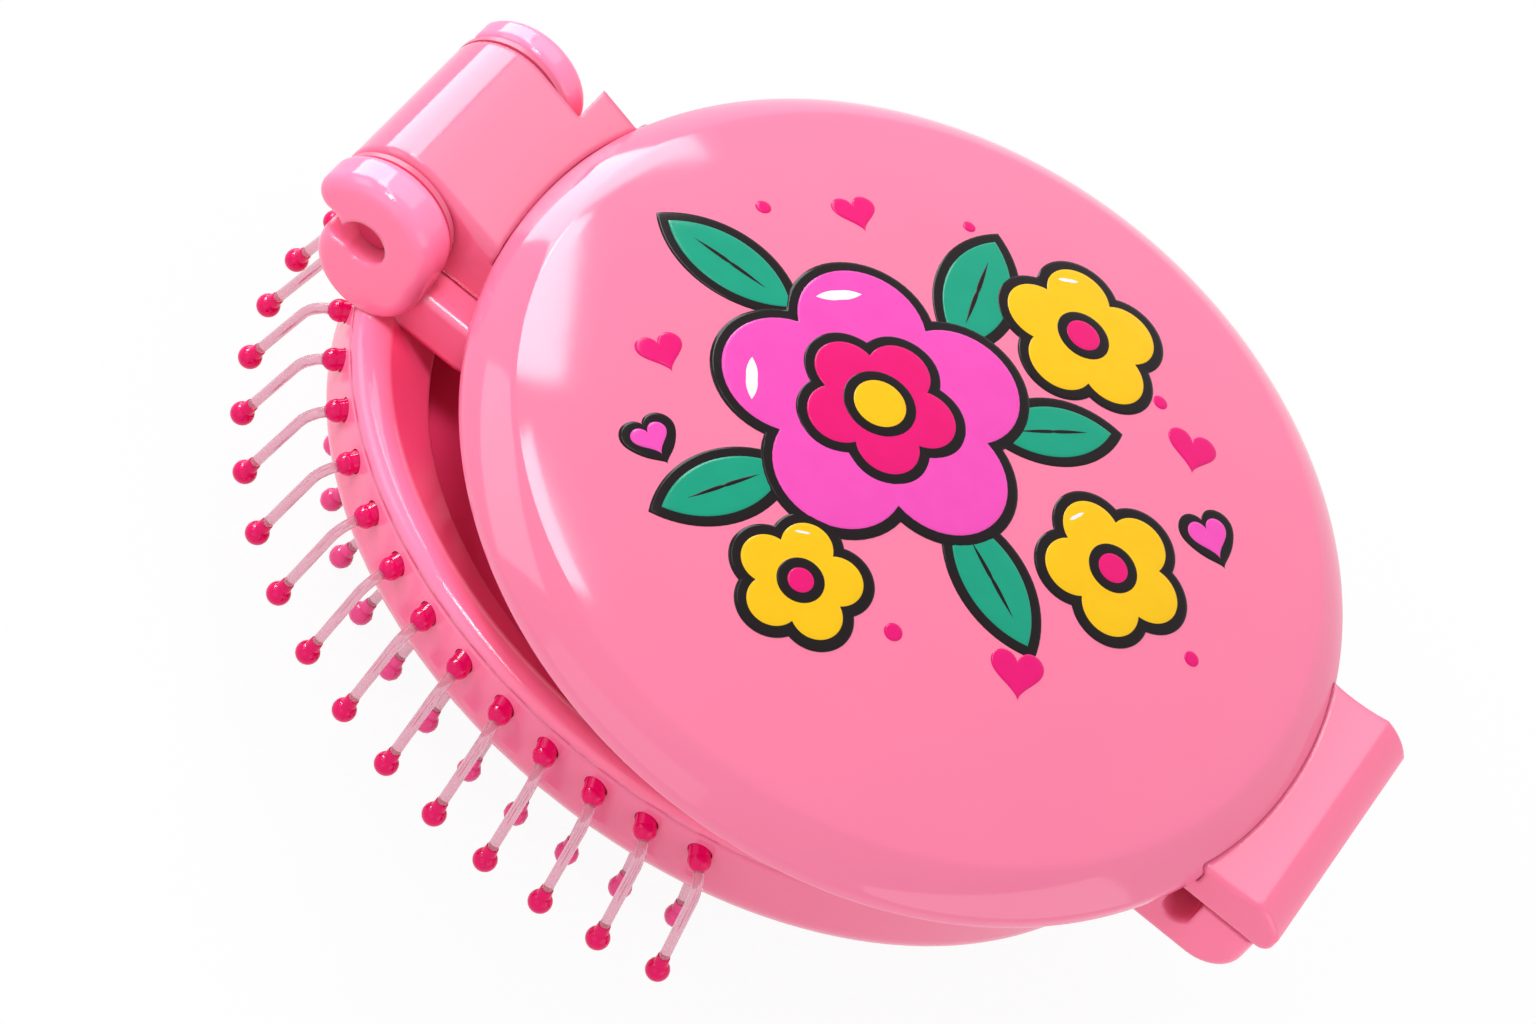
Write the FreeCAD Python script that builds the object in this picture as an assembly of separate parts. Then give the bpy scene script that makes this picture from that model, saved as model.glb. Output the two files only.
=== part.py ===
import FreeCAD, Part
import os
from math import asin, atan2, cos, degrees, hypot, pi, radians, sin, sqrt, tan

from FreeCAD import Vector

# A folding travel brush with a round mirror lid, closed and latched, standing on its ball tips.
# X runs from the hinge to the latch, Y along the hinge axis, Z up, all in millimetres.
# The origin lies under the middle of the round lid, on the plane of the ball tips.

# Clearances
seat_gap = 0.05           # between pieces that lie against each other
run_gap = 0.3             # between pieces that move past each other
pin_clearance = 0.06      # hinge pin in the bores that it turns in
press_clearance = 0.01    # hinge pin in the barrel that grips it
bristle_clearance = 0.02  # bristle in its collar and its ball tip

# Tray: an oval frame whose rim clamps the bristle bowl
rim_height = 20.2         # rim crest above the ball tips
tray_half_width = 32.3
tray_hinge_reach = 9.0    # hinge end of the oval beyond the lid's edge
tray_latch_inset = 5.0    # latch end of the oval inside the lid's edge
bead_height = 1.0         # rim bead above the edge of the bowl
bead_width = 1.3
crest_run = 1.3           # rounded crest, from its top to the inner slope
crest_fall = 0.45
rim_slope_run = 4.0       # inner slope of the rim, measured inwards
rim_slope_drop = 3.85
rim_lip = 1.4             # thickness of the slope at its lower lip
spigot_wall = 1.2
spigot_depth = 2.0        # spigot of the frame inside the bowl

# Bristle bowl
bowl_wall = 2.0
skirt_height = 6.5        # rim crest to the start of the rounded lower corner
bowl_corner = 3.8         # radius of that corner
bowl_edge_angle = 4.0     # slope of the crowned underside at the corner, in degrees
bowl_lip_round = 0.5

# Hinge
hinge_reach = 7.9         # from the lid's edge out to the hinge axis
hinge_drop = 1.8          # hinge axis below the lid's lower edge
barrel_radius = 5.4
barrel_rim_gap = 1.2      # barrel above the rim crest
barrel_half = 7.9
hinge_pin_radius = 2.0
hinge_pin_recess = 1.8    # pin end below the outer face of a cheek
hinge_pin_chamfer = 0.4
washer_thickness = 0.5
cheek_radius = 5.9
cheek_thickness = 4.2
cheek_round = 1.2
far_cheek_radius = 5.5    # the cheek at the far end is a slimmer cap
far_cheek_thickness = 2.7
far_cheek_round = 0.7
lobe_radius = 4.7         # lower lobe of a cheek, which stands on the rim
jaw_level = 0.15          # underside of the upper jaw above the axis
jaw_round = 1.8           # nose of the upper jaw
mouth_width = 1.9         # mouth between the jaws
mouth_round = 0.5
tab_rise = 1.4            # top of the hinge tab above the lid's lower edge, at that edge
tab_depth = 2.6           # underside of the hinge tab below the axis
tab_inset = 4.5           # how far the tab reaches in under the lid
tab_round = 0.7
ear_reach = 3.9           # ear of the tab beyond the barrel, behind the far cheek
deck_start = 1.0          # deck under the hinge tab, from the axis towards the latch
deck_length = 12.5
deck_side = 2.0           # side of the deck inside the outer face of the cheek
deck_corner = 3.0
deck_round = 0.6

# Lid cover
lid_radius = 37.5
lid_wall = 1.6
lid_band = 1.25           # upright band above the lower edge
lid_shoulder_inset = 3.2
lid_shoulder = 3.8        # top of the rounded shoulder above the lower edge
lid_shoulder_bulge = 0.15
lid_crown = 7.5           # middle of the dome above the lower edge

# Lid frame and mirror
flange_inset = 0.9        # flange edge inside the cover's edge
flange_thickness = 0.95
flange_spigot_wall = 1.4
mirror_inset = 8.5        # edge of the mirror inside the lid's edge
mirror_thickness = 1.5
mirror_gap = 0.15
mirror_wall = 2.0
mirror_tape = 0.8
tape_inset = 1.0
bezel_lap = 1.2           # bezel over the edge of the mirror
bezel_thickness = 0.6

# Latch
latch_reach = 5.9         # latch tab beyond the lid's edge
latch_half_width = 11.7
latch_rise = 2.3          # crease of the latch tab above the lid's lower edge
latch_drop = 1.9          # latch tab below the lid's lower edge
latch_facet = 2.9         # sloping outer facet, from the crease outwards
latch_facet_fall = 2.2
latch_facet_bulge = 0.25
latch_hollow = 0.55       # depth of the thumb hollow that runs along its top
latch_foot_round = 1.1
latch_round = 0.4
rib_thickness = 2.0       # catch rib under the latch tab
rib_half_width = 7.0
rib_depth = 3.1
rib_round = 0.7
groove_distance = 1.4     # middle of the catch groove inside the lid's edge
groove_floor_gap = 0.9
catch_half_width = 11.5
catch_gap = 2.0           # catch block outside the mirror bezel
catch_reach = 4.8         # catch block beyond the lid's edge
catch_depth = 8.4         # catch block below the lid's lower edge
catch_roll = 3.5          # radius of its outer lower edge
catch_round = 0.8
arm_half_width = 8.5
arm_length = 9.0
arm_gap = 1.0             # between the arm and the mirror bezel

# Bristles
pin_radius = 0.5
ball_radius = 1.05
collar_radius = 0.95
collar_reach = 1.6        # collar beyond the bowl
bristle_pitch = 4.7
closest_pitch = 3.5       # closest that two bristles stand across the centre line
bristle_end_x = 5.0       # the outer rows stop here, short of the latch end
inner_end_step = 2.4      # each row further in runs on by this much
inner_rows = 5
first_row_inset = 7.3
row_step = 5.3
first_row_tilt = 18.0     # outward lean of the first inner row, in degrees
head_radius = 0.9
head_thickness = 0.6
head_gap = 0.45           # between a bristle's head and the floor of the bowl
fan_centre_x = -19.0      # bristles lean away from this point of the centre line

# Side bristles: they leave the skirt sideways and bend down
side_drop = 3.1           # side row below the rim crest
side_socket = 1.6         # depth of a side bristle's socket in the skirt
side_start_tilt = 72.0    # degrees from straight down
side_end_tilt = 14.0
side_lead = 1.7           # straight part before the bend
side_bend = 2.4           # radius of the bend
side_length = 7.8         # straight part after the bend

# Levels and places that follow from the sizes above
hinge_height = rim_height + barrel_rim_gap + barrel_radius
lid_height = hinge_height + hinge_drop
hinge_x = -(lid_radius + hinge_reach)
tray_half_length = lid_radius + (tray_hinge_reach - tray_latch_inset) / 2
tray_centre_x = -(tray_hinge_reach + tray_latch_inset) / 2
bowl_top = rim_height - bead_height
bowl_corner_height = rim_height - skirt_height
bowl_inner_width = tray_half_width - bowl_wall
tab_bottom = hinge_height - tab_depth
cheek_foot = bowl_top + seat_gap
flange_bottom = lid_height - flange_thickness
mirror_top = flange_bottom - mirror_tape
mirror_bottom = mirror_top - mirror_thickness
mirror_radius = lid_radius - mirror_inset
bezel_radius = mirror_radius + mirror_gap + mirror_wall
bezel_bottom = mirror_bottom - seat_gap - bezel_thickness
cheek_inner = barrel_half + run_gap + washer_thickness
cheek_outer = cheek_inner + cheek_thickness
far_cheek_outer = cheek_inner + far_cheek_thickness
latch_bottom = lid_height - latch_drop
catch_x = bezel_radius + catch_gap
groove_x = lid_radius - groove_distance

half_quarter = 45.0       # middle of a quarter round, in degrees
parallel = 0.999          # smallest cosine between directions that count as the same
plan_steps = 2000         # steps in which the length of a bristle row is measured

origin = Vector(0, 0, 0)
up = Vector(0, 0, 1)
along_hinge = Vector(0, 1, 0)


def section(start, *steps):
    """Face in the XZ plane: a step is a point, or a pair of points for an arc through the first."""
    def at(point):
        return Vector(point[0], 0, point[1])

    edges = []
    here = at(start)
    for step in steps + (start,):
        if isinstance(step[0], tuple):
            there = at(step[1])
            edges.append(Part.Arc(here, at(step[0]), there).toShape())
        else:
            there = at(step)
            edges.append(Part.LineSegment(here, there).toShape())
        here = there
    return Part.Face(Part.Wire(edges))


def turned(face):
    return face.revolve(origin, up, 360)


def extruded(face, half_width):
    """Draw a section out to both sides of the centre line."""
    solid = face.extrude(along_hinge * (2 * half_width))
    solid.translate(along_hinge * -half_width)
    return solid


def oval(face):
    """Turn a section of the tray's half width, then stretch it to the tray's length."""
    stretch = FreeCAD.Matrix()
    stretch.scale(tray_half_length / tray_half_width, 1, 1)
    solid = turned(face).transformGeometry(stretch)
    solid.translate(Vector(tray_centre_x, 0, 0))
    return solid


def block(low_x, high_x, half_width, low_z, high_z):
    corner = Vector(low_x, -half_width, low_z)
    return Part.makeBox(high_x - low_x, 2 * half_width, high_z - low_z, corner)


def ring(outer, inner, low_z, high_z):
    base = Vector(0, 0, low_z)
    disc = Part.makeCylinder(outer, high_z - low_z, base)
    return disc.cut(Part.makeCylinder(inner, high_z - low_z, base))


def rod(radius, low_y, high_y, x=hinge_x, z=hinge_height):
    return Part.makeCylinder(radius, high_y - low_y, Vector(x, low_y, z), along_hinge)


def edges_along(shape, axis):
    """Straight edges that run along one axis."""
    found = []
    for edge in shape.Edges:
        run = edge.Vertexes[-1].Point - edge.Vertexes[0].Point
        if run.Length > 0 and abs(run.normalize().dot(axis)) > parallel:
            found.append(edge)
    return found


def end_edges(shape, half_width):
    """Edges that lie in the two end faces of a drawn-out section."""
    return [edge for edge in shape.Edges
            if edge.BoundBox.YLength < seat_gap and abs(edge.CenterOfMass.y) > half_width - seat_gap]


def arc_point(centre_x, centre_z, radius, angle):
    return (centre_x + radius * cos(radians(angle)), centre_z + radius * sin(radians(angle)))


# Lid
def dome_middle(edge_radius, edge_height, top):
    """Point of a round dome halfway between its edge and its top."""
    rise = top - edge_height
    sphere = (edge_radius ** 2 + rise ** 2) / (2 * rise)
    half = edge_radius / 2
    return (half, top - sphere + sqrt(sphere ** 2 - half ** 2))


def lid_envelope(gap):
    """The filled outer form of the cover, grown by a gap."""
    edge = lid_radius + gap
    bottom = lid_height - gap
    band = lid_height + lid_band
    shoulder = (lid_radius - lid_shoulder_inset + gap, lid_height + lid_shoulder)
    bulge = ((edge + shoulder[0]) / 2 + lid_shoulder_bulge, (band + shoulder[1]) / 2 + lid_shoulder_bulge)
    top = lid_height + lid_crown + gap
    dome = dome_middle(shoulder[0], shoulder[1], top)
    return turned(section((0, bottom), (edge, bottom), (edge, band), (bulge, shoulder), (dome, (0, top))))


def lid_cover():
    inner_edge = lid_radius - lid_wall
    shoulder = (lid_radius - lid_shoulder_inset - lid_wall / 2, lid_height + lid_shoulder - lid_wall)
    top = lid_height + lid_crown - lid_wall
    dome = dome_middle(shoulder[0], shoulder[1], top)
    inside = section((0, lid_height), (inner_edge, lid_height), (inner_edge, lid_height + lid_band),
                     shoulder, (dome, (0, top)))
    return lid_envelope(0).cut(turned(inside))


def hinge_tab():
    """The barrel, the plate that slopes from it to the lid's edge, and the ear behind the far cheek."""
    inner_x = tab_inset - lid_radius
    rise = tab_rise + hinge_drop
    run = hypot(hinge_reach, rise)
    slope = asin(barrel_radius / run) - atan2(rise, hinge_reach)
    touch = arc_point(hinge_x, hinge_height, barrel_radius, 90 - degrees(slope))

    def plate_top(x):
        return (x, lid_height + tab_rise - (x + lid_radius) * tan(slope))

    plate = extruded(section((hinge_x, hinge_height), (hinge_x, tab_bottom), (inner_x, tab_bottom),
                             plate_top(inner_x), touch), barrel_half)
    tab = plate.fuse(rod(barrel_radius, -barrel_half, barrel_half)).removeSplitter()
    top_edges = [edge for edge in end_edges(tab, barrel_half)
                 if edge.BoundBox.ZMin > hinge_height and edge.BoundBox.XLength > tab_inset
                 and edge.CenterOfMass.y < 0]
    tab = tab.makeFillet(tab_round, top_edges)
    ear_x = hinge_x + far_cheek_radius + run_gap
    ear = section((ear_x, tab_bottom), (inner_x, tab_bottom), plate_top(inner_x), plate_top(ear_x))
    ear = ear.extrude(along_hinge * (barrel_half + ear_reach))
    return tab.fuse(ear).removeSplitter().cut(lid_envelope(seat_gap))


def latch_tab():
    outer_x = lid_radius + latch_reach
    crease = (outer_x - latch_facet, lid_height + latch_rise)
    facet_foot = (outer_x, crease[1] - latch_facet_fall)
    facet = ((crease[0] + facet_foot[0]) / 2 + latch_facet_bulge,
             (crease[1] + facet_foot[1]) / 2 + latch_facet_bulge)
    hollow = ((catch_x + crease[0]) / 2, crease[1] - latch_hollow)
    foot = arc_point(outer_x - latch_foot_round, latch_bottom + latch_foot_round,
                     latch_foot_round, -half_quarter)
    tab = extruded(section((catch_x, latch_bottom), (outer_x - latch_foot_round, latch_bottom),
                           (foot, (outer_x, latch_bottom + latch_foot_round)), facet_foot, (facet, crease),
                           (hollow, (catch_x, crease[1]))), latch_half_width)
    end_outline = [edge for edge in end_edges(tab, latch_half_width)
                   if edge.BoundBox.ZMax > latch_bottom + seat_gap
                   and edge.CenterOfMass.x > catch_x + seat_gap]
    tab = tab.makeFillet(latch_round, end_outline)
    tab = tab.cut(lid_envelope(seat_gap))
    rib = block(groove_x - rib_thickness / 2, groove_x + rib_thickness / 2, rib_half_width,
                latch_bottom - rib_depth, latch_bottom)
    rib_foot = [edge for edge in edges_along(rib, along_hinge)
                if edge.CenterOfMass.z < latch_bottom - seat_gap]
    return tab.fuse(rib.makeFillet(rib_round, rib_foot))


def lid_frame():
    flange = Part.makeCylinder(lid_radius - flange_inset, flange_thickness - seat_gap,
                               Vector(0, 0, flange_bottom))
    spigot_edge = lid_radius - lid_wall - seat_gap
    spigot = ring(spigot_edge, spigot_edge - flange_spigot_wall,
                  flange_bottom, lid_height + lid_band - seat_gap)
    wall = ring(bezel_radius, mirror_radius + mirror_gap, mirror_bottom, flange_bottom)
    frame = flange.fuse([spigot, wall, hinge_tab(), latch_tab()])
    return frame.cut(rod(hinge_pin_radius + press_clearance, -barrel_half, barrel_half)).removeSplitter()


def mirror():
    return Part.makeCylinder(mirror_radius, mirror_thickness, Vector(0, 0, mirror_bottom))


def mirror_tape_disc():
    return Part.makeCylinder(mirror_radius - tape_inset, mirror_tape, Vector(0, 0, mirror_top))


def mirror_bezel():
    return ring(bezel_radius, mirror_radius - bezel_lap, bezel_bottom, mirror_bottom)


def hinge_pin():
    pin = rod(hinge_pin_radius, hinge_pin_recess - cheek_outer, far_cheek_outer - hinge_pin_recess)
    ends = [edge for edge in pin.Edges if edge.BoundBox.YLength < seat_gap]
    return pin.makeChamfer(hinge_pin_chamfer, ends)


def hinge_washers():
    bore = hinge_pin_radius + pin_clearance
    washers = []
    for low_y in (-cheek_inner, cheek_inner - washer_thickness):
        disc = rod(barrel_radius, low_y, low_y + washer_thickness)
        washers.append(disc.cut(rod(bore, low_y, low_y + washer_thickness)))
    return Part.makeCompound(washers)


# Tray frame
def tray_ring():
    edge = tray_half_width
    crest = (edge - bead_width, rim_height)
    bead = (crest[0] + bead_width * cos(radians(half_quarter)),
            bowl_top + bead_height * sin(radians(half_quarter)))
    slope_top = (crest[0] - crest_run, rim_height - crest_fall)
    crest_round = (crest[0] - crest_run / 2, rim_height - crest_fall / 4)
    lip_x = slope_top[0] - rim_slope_run
    lip_z = slope_top[1] - rim_slope_drop
    spigot_outer = bowl_inner_width - seat_gap
    spigot_inner = spigot_outer - spigot_wall
    spigot_foot = bowl_top - spigot_depth
    under_z = lip_z - rim_lip + (spigot_inner - lip_x) * rim_slope_drop / rim_slope_run
    return oval(section((edge, bowl_top), (bead, crest), (crest_round, slope_top), (lip_x, lip_z),
                        (lip_x, lip_z - rim_lip), (spigot_inner, under_z), (spigot_outer, spigot_foot),
                        (spigot_outer, bowl_top)))


def hinge_cheek(low_y, high_y, radius, rim_round):
    """A hooked cheek: a round upper jaw, a lower lobe on the rim, and the mouth where the pin snaps in."""
    width = high_y - low_y
    lobe_x = hinge_x + radius - lobe_radius
    lobe_z = cheek_foot + lobe_radius
    jaw_z = hinge_height + jaw_level
    below_jaw = Part.makeBox(2 * radius, width, 2 * radius,
                             Vector(hinge_x - 2 * radius, low_y, jaw_z - 2 * radius))
    upper = rod(radius, low_y, high_y).cut(below_jaw)
    back = Part.makeBox(radius, width, hinge_height - lobe_z, Vector(hinge_x, low_y, lobe_z))
    lobe = rod(lobe_radius, low_y, high_y, lobe_x, lobe_z)
    cheek = upper.fuse([lobe, back]).removeSplitter()

    def jaw_edges(inner):
        return [edge for edge in edges_along(cheek, along_hinge)
                if abs(edge.CenterOfMass.z - jaw_z) < seat_gap
                and (edge.CenterOfMass.x > hinge_x - radius + jaw_round + mouth_round) == inner]

    cheek = cheek.makeFillet(jaw_round, jaw_edges(False))
    cheek = cheek.makeFillet(mouth_round, jaw_edges(True))
    rims = [edge for edge in cheek.Edges if edge.BoundBox.YLength < seat_gap]
    cheek = cheek.makeFillet(rim_round, rims)
    bore = rod(hinge_pin_radius + pin_clearance, low_y, high_y)
    mouth = Part.makeBox(2 * radius, width, mouth_width,
                         Vector(hinge_x - 2 * radius, low_y, jaw_z - mouth_width))
    return cheek.cut([bore, mouth])


def hinge_deck():
    outer_x = hinge_x + deck_start
    inner_x = outer_x + deck_length
    top = tab_bottom - run_gap
    deck = block(outer_x, inner_x, cheek_outer - deck_side, cheek_foot, top)
    inner_corners = [edge for edge in edges_along(deck, up) if edge.CenterOfMass.x > inner_x - seat_gap]
    deck = deck.makeFillet(deck_corner, inner_corners)
    top_edges = [edge for edge in edges_along(deck, Vector(1, 0, 0))
                 if edge.CenterOfMass.z > top - seat_gap]
    deck = deck.makeFillet(deck_round, top_edges)
    return deck.cut(rod(barrel_radius + run_gap, -cheek_inner, cheek_inner))


def catch_block():
    top = latch_bottom - run_gap
    high_x = lid_radius + catch_reach
    bottom = lid_height - catch_depth
    roll = arc_point(high_x - catch_roll, bottom + catch_roll, catch_roll, -half_quarter)
    catch = extruded(section((catch_x, top), (catch_x, bottom), (high_x - catch_roll, bottom),
                             (roll, (high_x, bottom + catch_roll)), (high_x, top)), catch_half_width)
    end_outline = [edge for edge in end_edges(catch, catch_half_width)
                   if edge.BoundBox.ZMin < top - seat_gap and edge.CenterOfMass.x > catch_x + seat_gap]
    catch = catch.makeFillet(catch_round, end_outline)
    width = rib_thickness + 2 * run_gap
    floor = latch_bottom - rib_depth - groove_floor_gap + width / 2
    slot = block(groove_x - width / 2, groove_x + width / 2, catch_half_width, floor, top)
    catch = catch.cut([slot, rod(width / 2, -catch_half_width, catch_half_width, groove_x, floor)])
    arm = block(catch_x - arm_length, groove_x - width / 2, arm_half_width,
                bowl_top, bezel_bottom - arm_gap)
    return catch.fuse(arm)


def brush_frame():
    near_cheek = hinge_cheek(-cheek_outer, -cheek_inner, cheek_radius, cheek_round)
    far_cheek = hinge_cheek(cheek_inner, far_cheek_outer, far_cheek_radius, far_cheek_round)
    return tray_ring().fuse([near_cheek, far_cheek, hinge_deck(), catch_block()])


# Bristle bowl
def bowl_floor(corner_radius):
    """Where the rounded corner of the bowl meets its crowned underside: width, height, crown radius."""
    slope = radians(bowl_edge_angle)
    width = tray_half_width - bowl_corner + corner_radius * sin(slope)
    height = bowl_corner_height - corner_radius * cos(slope)
    return width, height, width / sin(slope)


def bowl_profile(corner_radius):
    """Corner middle, corner end, crown middle and crown centre of the bowl's section."""
    width, height, crown = bowl_floor(corner_radius)
    centre = tray_half_width - bowl_corner
    corner_middle = arc_point(centre, bowl_corner_height, corner_radius, -half_quarter)
    crown_centre = height + crown * cos(radians(bowl_edge_angle))
    half_slope = radians(bowl_edge_angle) / 2
    crown_middle = (crown * sin(half_slope), crown_centre - crown * cos(half_slope))
    return corner_middle, (width, height), crown_middle, (0, crown_centre - crown)


def underside_height(x, y):
    """Height of the bowl's crowned underside over a point of the plan."""
    width, height, crown = bowl_floor(bowl_corner)
    across = hypot((x - tray_centre_x) * tray_half_width / tray_half_length, y)
    crown_centre = height + crown * cos(radians(bowl_edge_angle))
    return crown_centre - sqrt(crown ** 2 - across ** 2)


def bowl_shell():
    outer_middle, outer_end, outer_crown, outer_low = bowl_profile(bowl_corner)
    inner_middle, inner_end, inner_crown, inner_low = bowl_profile(bowl_corner - bowl_wall)
    edge = tray_half_width
    lip = arc_point(edge - bowl_lip_round, bowl_top - bowl_lip_round, bowl_lip_round, half_quarter)
    return oval(section((bowl_inner_width, bowl_top), (edge - bowl_lip_round, bowl_top),
                        (lip, (edge, bowl_top - bowl_lip_round)), (edge, bowl_corner_height),
                        (outer_middle, outer_end), (outer_crown, outer_low), inner_low,
                        (inner_crown, inner_end), (inner_middle, (bowl_inner_width, bowl_corner_height))))


# Bristles
def row_plan(half_length, half_width, end_x, staggered):
    """Points of one oval row at an even pitch, the same on both sides of the centre line.

    A point that would stand too close to its own mirror image is left out.
    """
    points = []
    gone = bristle_pitch / 2 if staggered else 0.0
    x, y = -half_length, 0.0
    for step in range(1, plan_steps + 1):
        angle = pi * (1 - step / plan_steps)
        next_x, next_y = half_length * cos(angle), half_width * sin(angle)
        if gone <= 0 and x + tray_centre_x < end_x:
            if y == 0 or 2 * y > closest_pitch:
                points.append((x + tray_centre_x, y))
            gone += bristle_pitch
        gone -= hypot(next_x - x, next_y - y)
        x, y = next_x, next_y
    mirrored = [(px, -py) for px, py in points if py > 0]
    return points + mirrored


def fan(x, y):
    """Unit direction in plan that leads away from the fan centre."""
    run = hypot(x - fan_centre_x, y)
    return (x - fan_centre_x) / run, y / run


def seat(root, lean, tilt):
    """Placement whose Z is the bristle's line and whose X turns it further down."""
    line = Vector(sin(tilt) * lean[0], sin(tilt) * lean[1], -cos(tilt))
    down = Vector(-cos(tilt) * lean[0], -cos(tilt) * lean[1], -sin(tilt))
    return FreeCAD.Placement(root, FreeCAD.Rotation(down, line.cross(down), line, "ZXY"))


def placed(shape, placement):
    copy = shape.copy()
    copy.Placement = placement
    return copy


def collar(depth):
    """Root collar from its socket to its rounded end, bored for the bristle."""
    bore = pin_radius + bristle_clearance
    neck = collar_reach - (collar_radius - bore)
    round_middle = arc_point(bore, neck, collar_radius - bore, half_quarter)
    return turned(section((bore, -depth), (collar_radius, -depth), (collar_radius, neck),
                          (round_middle, (bore, collar_reach))))


def ball_tip():
    """A ball, bored from below to just past its middle, where the bristle ends."""
    depth = ball_radius + seat_gap
    bore = Part.makeCylinder(pin_radius + bristle_clearance, depth, Vector(0, 0, -ball_radius))
    return Part.makeSphere(ball_radius).cut(bore)


def socket(depth):
    reach = depth + collar_reach
    return Part.makeCylinder(collar_radius + bristle_clearance, reach, Vector(0, 0, -depth))


def side_pin():
    """A bristle that runs straight out of its collar, bends down and runs on to its tip."""
    turn = radians(side_start_tilt - side_end_tilt)
    start = Vector(0, 0, -side_socket)
    bend_start = Vector(0, 0, side_lead)
    bend_middle = bend_start + Vector(1 - cos(turn / 2), 0, sin(turn / 2)) * side_bend
    bend_end = bend_start + Vector(1 - cos(turn), 0, sin(turn)) * side_bend
    tip = bend_end + Vector(sin(turn), 0, cos(turn)) * side_length
    path = Part.Wire([Part.LineSegment(start, bend_start).toShape(),
                      Part.Arc(bend_start, bend_middle, bend_end).toShape(),
                      Part.LineSegment(bend_end, tip).toShape()])
    circle = Part.Wire([Part.makeCircle(pin_radius, start, up)])
    tip_seat = FreeCAD.Placement(tip, FreeCAD.Rotation(along_hinge, degrees(turn)))
    return path.makePipeShell([circle], True, False), tip_seat


def side_row():
    """Seats of the bristles that leave the skirt of the bowl sideways."""
    seats = []
    for x, y in row_plan(tray_half_length, tray_half_width, bristle_end_x, True):
        root = Vector(x, y, rim_height - side_drop)
        seats.append(seat(root, fan(x, y), radians(side_start_tilt)))
    pin, tip_seat = side_pin()
    tip_seats = [place.multiply(tip_seat) for place in seats]
    return {"seats": seats, "pins": [placed(pin, place) for place in seats], "tips": tip_seats,
            "depth": side_socket, "socket": side_socket}


def inner_row(number):
    """One row under the bowl, with every ball tip on the plane that the brush stands on."""
    inset = first_row_inset + number * row_step
    tilt = radians(first_row_tilt * (1 - number / inner_rows))
    end_x = bristle_end_x + number * inner_end_step
    depth = bowl_wall / cos(tilt)
    seats, pins, tips = [], [], []
    for x, y in row_plan(tray_half_length - inset, tray_half_width - inset, end_x, number % 2 == 1):
        root = Vector(x, y, underside_height(x, y))
        place = seat(root, fan(x, y), tilt)
        length = (root.z - ball_radius) / cos(tilt)
        head_seat = depth + head_gap
        stem = Part.makeCylinder(pin_radius, length + head_seat, Vector(0, 0, -head_seat))
        head = Part.makeCylinder(head_radius, head_thickness, Vector(0, 0, -head_seat - head_thickness))
        pins.append(placed(stem.fuse(head), place))
        tips.append(place.multiply(FreeCAD.Placement(Vector(0, 0, length), FreeCAD.Rotation())))
        seats.append(place)
    return {"seats": seats, "pins": pins, "tips": tips, "depth": depth, "socket": depth + head_gap}


def bristle_bowl(rows):
    sockets = []
    for row in rows:
        tool = socket(row["socket"])
        sockets += [placed(tool, place) for place in row["seats"]]
    return bowl_shell().cut(sockets)


def bristle_nodes(rows):
    nodes = {}
    for number, row in enumerate(rows, start=1):
        ring_collar = collar(row["depth"])
        nodes[f"bristle_pins_row_{number}"] = Part.makeCompound(row["pins"])
        collars = [placed(ring_collar, place) for place in row["seats"]]
        nodes[f"root_collars_row_{number}"] = Part.makeCompound(collars)
        tips = [placed(ball_tip(), place) for place in row["tips"]]
        nodes[f"ball_tips_row_{number}"] = Part.makeCompound(tips)
    return nodes


def all_nodes():
    rows = [side_row()] + [inner_row(number) for number in range(inner_rows)]
    nodes = {
        "lid_cover": lid_cover(),
        "lid_frame": lid_frame(),
        "mirror": mirror(),
        "mirror_tape": mirror_tape_disc(),
        "mirror_bezel": mirror_bezel(),
        "hinge_pin": hinge_pin(),
        "hinge_washers": hinge_washers(),
        "brush_frame": brush_frame(),
        "bristle_bowl": bristle_bowl(rows),
    }
    nodes.update(bristle_nodes(rows))
    return nodes


os.makedirs("parts", exist_ok=True)
for name, shape in all_nodes().items():
    shape.exportStep(f"parts/{name}.step")
    print(name, len(shape.Solids), round(shape.Volume, 1), shape.isValid())
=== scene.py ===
from math import asin, cos, hypot, pi, radians, sin, sqrt

import bmesh
import bpy
import numpy as np
from mathutils import Matrix, Vector

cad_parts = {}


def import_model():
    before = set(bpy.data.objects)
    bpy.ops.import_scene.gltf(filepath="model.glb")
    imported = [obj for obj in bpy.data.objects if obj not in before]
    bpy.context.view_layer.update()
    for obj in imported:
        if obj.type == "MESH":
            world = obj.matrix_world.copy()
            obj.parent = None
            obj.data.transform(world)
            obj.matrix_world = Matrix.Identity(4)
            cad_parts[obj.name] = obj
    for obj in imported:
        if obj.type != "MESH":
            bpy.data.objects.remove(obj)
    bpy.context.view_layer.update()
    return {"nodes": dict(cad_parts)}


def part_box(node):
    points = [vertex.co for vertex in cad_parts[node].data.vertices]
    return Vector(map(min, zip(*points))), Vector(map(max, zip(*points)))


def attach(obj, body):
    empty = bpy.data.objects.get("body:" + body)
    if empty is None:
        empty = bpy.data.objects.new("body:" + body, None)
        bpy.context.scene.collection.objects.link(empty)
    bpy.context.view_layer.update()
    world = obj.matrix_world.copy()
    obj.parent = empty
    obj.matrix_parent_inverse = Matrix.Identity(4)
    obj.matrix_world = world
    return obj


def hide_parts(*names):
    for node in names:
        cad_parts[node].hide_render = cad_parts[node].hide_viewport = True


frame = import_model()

# A folding travel brush with a round mirror lid, closed and latched, standing on its ball tips.
# X runs from the hinge to the latch, Y along the hinge axis, Z up.
# Sizes are in millimetres until a mesh is made, and angles are in degrees.

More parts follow.
